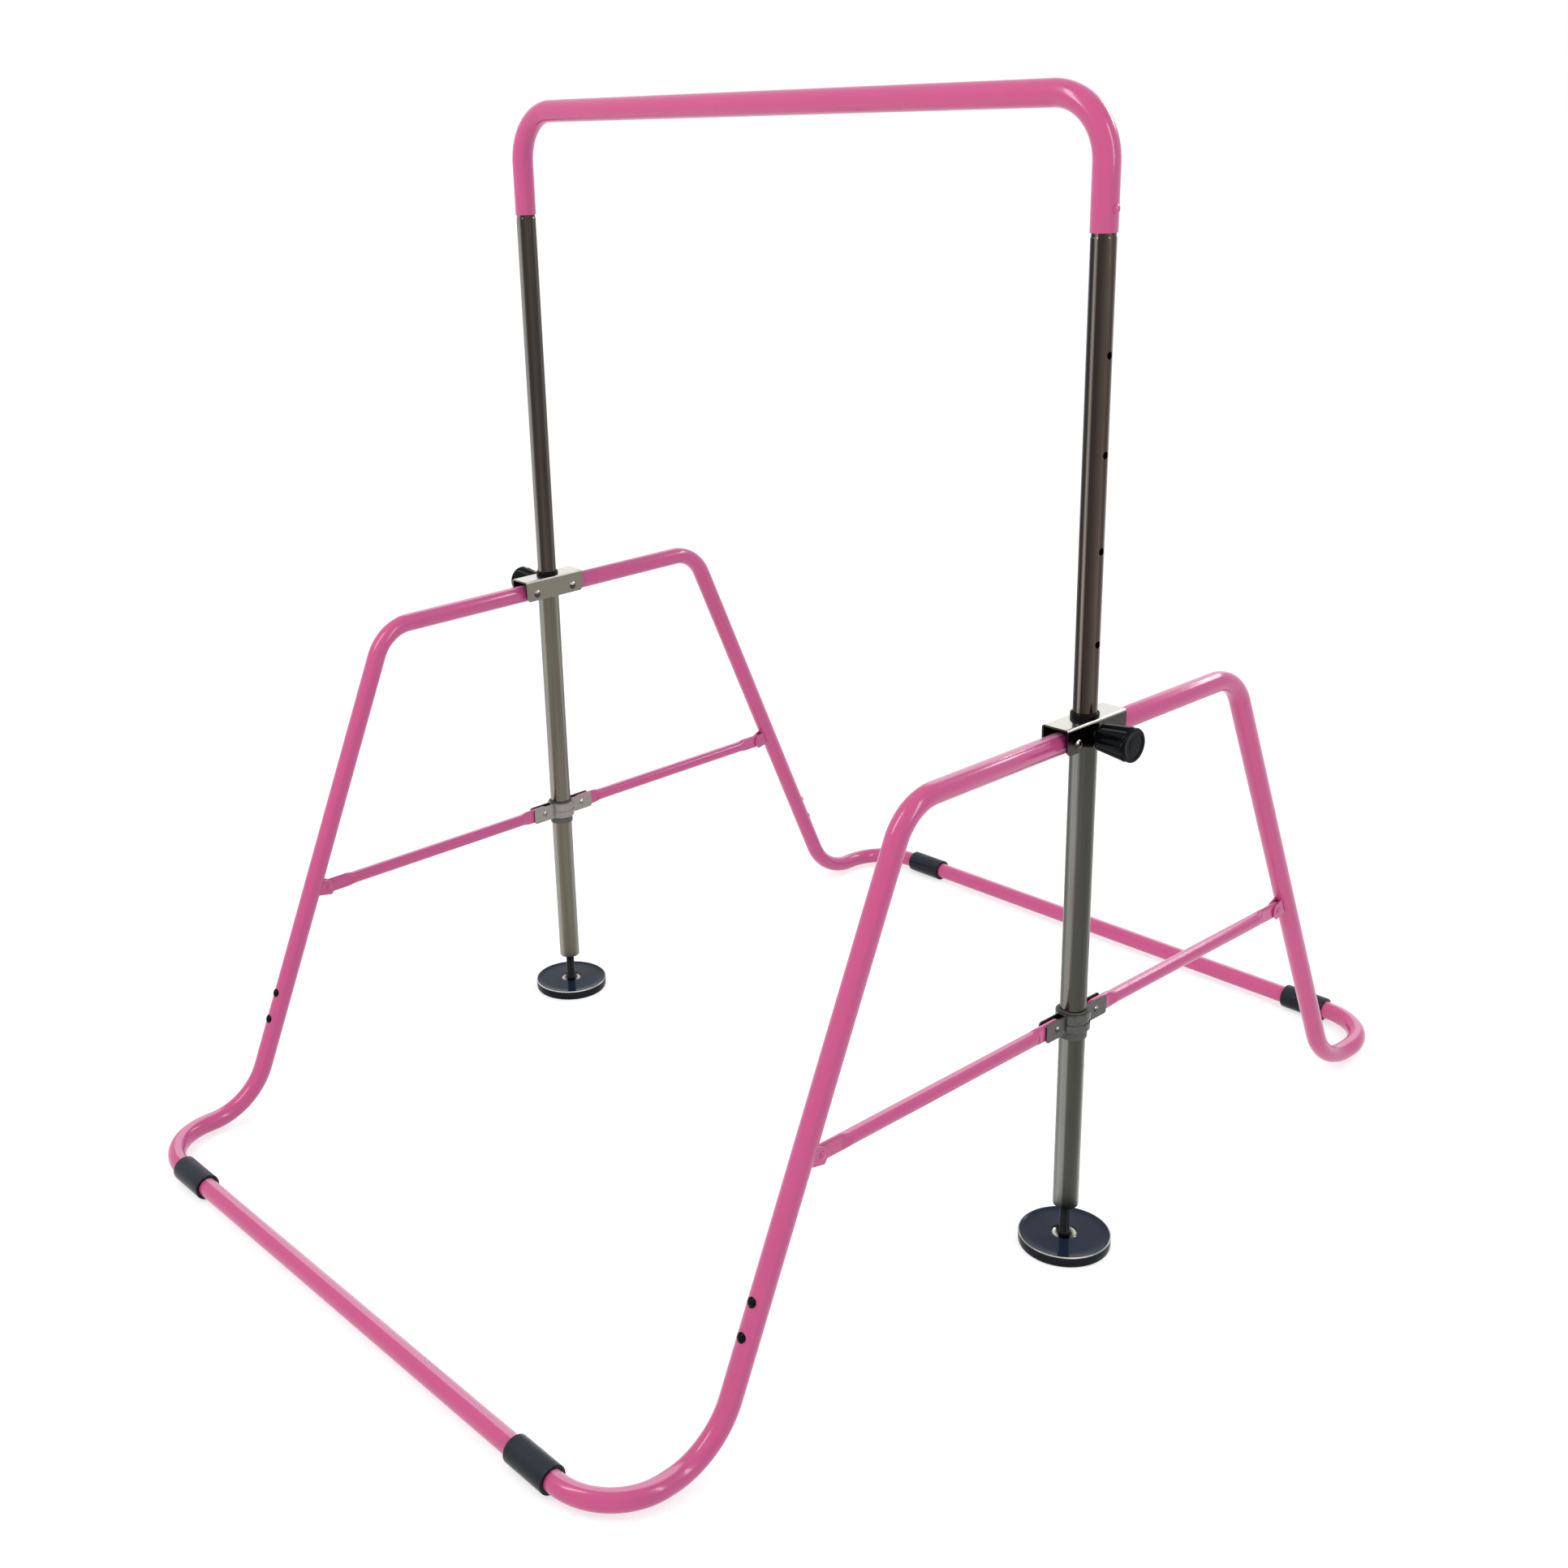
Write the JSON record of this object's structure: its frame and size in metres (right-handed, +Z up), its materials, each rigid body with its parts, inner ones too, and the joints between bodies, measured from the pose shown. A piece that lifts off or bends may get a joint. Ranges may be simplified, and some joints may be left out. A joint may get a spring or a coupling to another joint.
{
  "type": "folding kip bar",
  "caption": "Height-adjustable gymnastics bar on two telescoping posts with spring-pin locks, levelling foot pads and front and rear leg frames that fold under it.",
  "frame": {"origin": "on the floor, midway between the two posts", "axes": "+X along the grip bar to the right-hand post, +Y to the rear leg frame, +Z up"},
  "size_m": [1.228, 1.6578, 1.498],
  "materials": {
    "pink_paint": "glossy powder coat",
    "dark_chrome": "dark polished plating",
    "post_chrome": "polished plating",
    "bright_steel": "bright plating",
    "collar_steel": "zinc plated",
    "spring_steel": "plain",
    "black_plastic": "glossy moulded",
    "sleeve_plastic": "satin",
    "pad_plastic": "glossy moulded",
    "inner_plastic": "matt moulded",
    "grey_plastic": "satin moulded",
    "black_steel": "black finish"
  },
  "bodies": {
    "base": {"right_lower_post": "post_chrome", "left_lower_post": "post_chrome", "right_bracket": "bright_steel", "left_bracket": "bright_steel", "right_guide_bush": "black_plastic", "left_guide_bush": "black_plastic", "hinge_rivets": "bright_steel", "right_plunger_barrel": "bright_steel", "left_plunger_barrel": "bright_steel", "right_foot_insert": "inner_plastic", "left_foot_insert": "inner_plastic", "right_pin_spring": "spring_steel", "left_pin_spring": "spring_steel"},
    "upper_frame": {"grip_bar": "pink_paint", "right_upper_post": "dark_chrome", "left_upper_post": "dark_chrome", "bar_bolts": "pink_paint", "right_glide_bush": "inner_plastic", "left_glide_bush": "inner_plastic"},
    "right_lock": {"right_lock_pin": "bright_steel", "right_lock_knob": "black_plastic", "right_knob_cap": "black_plastic"},
    "right_collar": {"right_collar_outer": "collar_steel", "right_collar_inner": "collar_steel", "right_collar_bush": "grey_plastic", "right_collar_rivets": "bright_steel"},
    "front_right_strut": {"front_right_brace": "pink_paint"},
    "rear_right_strut": {"rear_right_brace": "pink_paint"},
    "right_foot": {"right_foot_stud": "black_steel"},
    "right_pad": {"right_foot_pad": "pad_plastic", "right_foot_ring": "bright_steel"},
    "left_lock": {"left_lock_pin": "bright_steel", "left_lock_knob": "black_plastic", "left_knob_cap": "black_plastic"},
    "left_collar": {"left_collar_outer": "collar_steel", "left_collar_inner": "collar_steel", "left_collar_bush": "grey_plastic", "left_collar_rivets": "bright_steel"},
    "front_left_strut": {"front_left_brace": "pink_paint"},
    "rear_left_strut": {"rear_left_brace": "pink_paint"},
    "left_foot": {"left_foot_stud": "black_steel"},
    "left_pad": {"left_foot_pad": "pad_plastic", "left_foot_ring": "bright_steel"},
    "front_frame": {"front_right_leg": "pink_paint", "front_left_leg": "pink_paint", "front_crossbar": "pink_paint", "front_sleeves": "sleeve_plastic", "front_tabs": "pink_paint", "front_tab_rivets": "pink_paint", "front_leg_plugs": "black_plastic", "front_hinge_pins": "bright_steel"},
    "rear_frame": {"rear_right_leg": "pink_paint", "rear_left_leg": "pink_paint", "rear_crossbar": "pink_paint", "rear_sleeves": "sleeve_plastic", "rear_tabs": "pink_paint", "rear_tab_rivets": "pink_paint", "rear_leg_plugs": "black_plastic", "rear_hinge_pins": "bright_steel"}
  },
  "joints": [
    {"name": "height_slide", "type": "slide", "parent": "base", "child": "upper_frame", "axis": [0, 0, 1], "range_m": [-0.46, 0]},
    {"name": "right_knob_pull", "type": "slide", "parent": "base", "child": "right_lock", "axis": [1, 0, 0], "range_m": [-0.004, 0.005], "stiffness_N_per_m": 900, "deforming": ["right_pin_spring"]},
    {"name": "left_knob_pull", "type": "slide", "parent": "base", "child": "left_lock", "axis": [-1, 0, 0], "range_m": [-0.004, 0.005], "stiffness_N_per_m": 900, "deforming": ["left_pin_spring"]},
    {"name": "fold_slide", "type": "slide", "parent": "base", "child": "right_collar", "axis": [0, 0, 1], "range_m": [0, 0.2363]},
    {"name": "left_collar_slide", "type": "slide", "parent": "base", "child": "left_collar", "axis": [0, 0, 1], "range_m": [0, 0.2363]},
    {"name": "front_right_brace_swing", "type": "hinge", "parent": "right_collar", "child": "front_right_strut", "pos_m": [0.54, -0.04, 0.3415], "axis": [1, 0, 0], "range_deg": [0, 79.68]},
    {"name": "front_left_brace_swing", "type": "hinge", "parent": "left_collar", "child": "front_left_strut", "pos_m": [-0.54, -0.04, 0.3415], "axis": [1, 0, 0], "range_deg": [0, 79.68]},
    {"name": "front_frame_fold", "type": "hinge", "parent": "front_right_strut", "child": "front_frame", "pos_m": [0.54, -0.47, 0.3415], "axis": [1, 0, 0], "range_deg": [-39.68, 0]},
    {"name": "rear_right_brace_swing", "type": "hinge", "parent": "right_collar", "child": "rear_right_strut", "pos_m": [0.54, 0.04, 0.3415], "axis": [1, 0, 0], "range_deg": [-79.68, 0]},
    {"name": "rear_left_brace_swing", "type": "hinge", "parent": "left_collar", "child": "rear_left_strut", "pos_m": [-0.54, 0.04, 0.3415], "axis": [1, 0, 0], "range_deg": [-79.68, 0]},
    {"name": "rear_frame_fold", "type": "hinge", "parent": "rear_right_strut", "child": "rear_frame", "pos_m": [0.54, 0.47, 0.3415], "axis": [1, 0, 0], "range_deg": [0, 39.68]},
    {"name": "right_foot_screw", "type": "slide", "parent": "base", "child": "right_foot", "axis": [0, 0, 1], "range_m": [0, 0.016]},
    {"name": "right_pad_swivel", "type": "hinge", "parent": "right_foot", "child": "right_pad", "pos_m": [0.54, 0, 0.006], "axis": [0, 0, 1], "continuous": true},
    {"name": "left_foot_screw", "type": "slide", "parent": "base", "child": "left_foot", "axis": [0, 0, 1], "range_m": [0, 0.016]},
    {"name": "left_pad_swivel", "type": "hinge", "parent": "left_foot", "child": "left_pad", "pos_m": [-0.54, 0, 0.006], "axis": [0, 0, 1], "continuous": true}
  ],
  "couplings": [
    {"joint": "left_collar_slide", "follows": "fold_slide", "ratio": 1},
    {"joint": "front_right_brace_swing", "follows": "fold_slide", "rad_per_m": 5.8849},
    {"joint": "front_left_brace_swing", "follows": "fold_slide", "rad_per_m": 5.8849},
    {"joint": "front_frame_fold", "follows": "fold_slide", "rad_per_m": -2.9306},
    {"joint": "rear_right_brace_swing", "follows": "fold_slide", "rad_per_m": -5.8849},
    {"joint": "rear_left_brace_swing", "follows": "fold_slide", "rad_per_m": -5.8849},
    {"joint": "rear_frame_fold", "follows": "fold_slide", "rad_per_m": 2.9306}
  ]
}
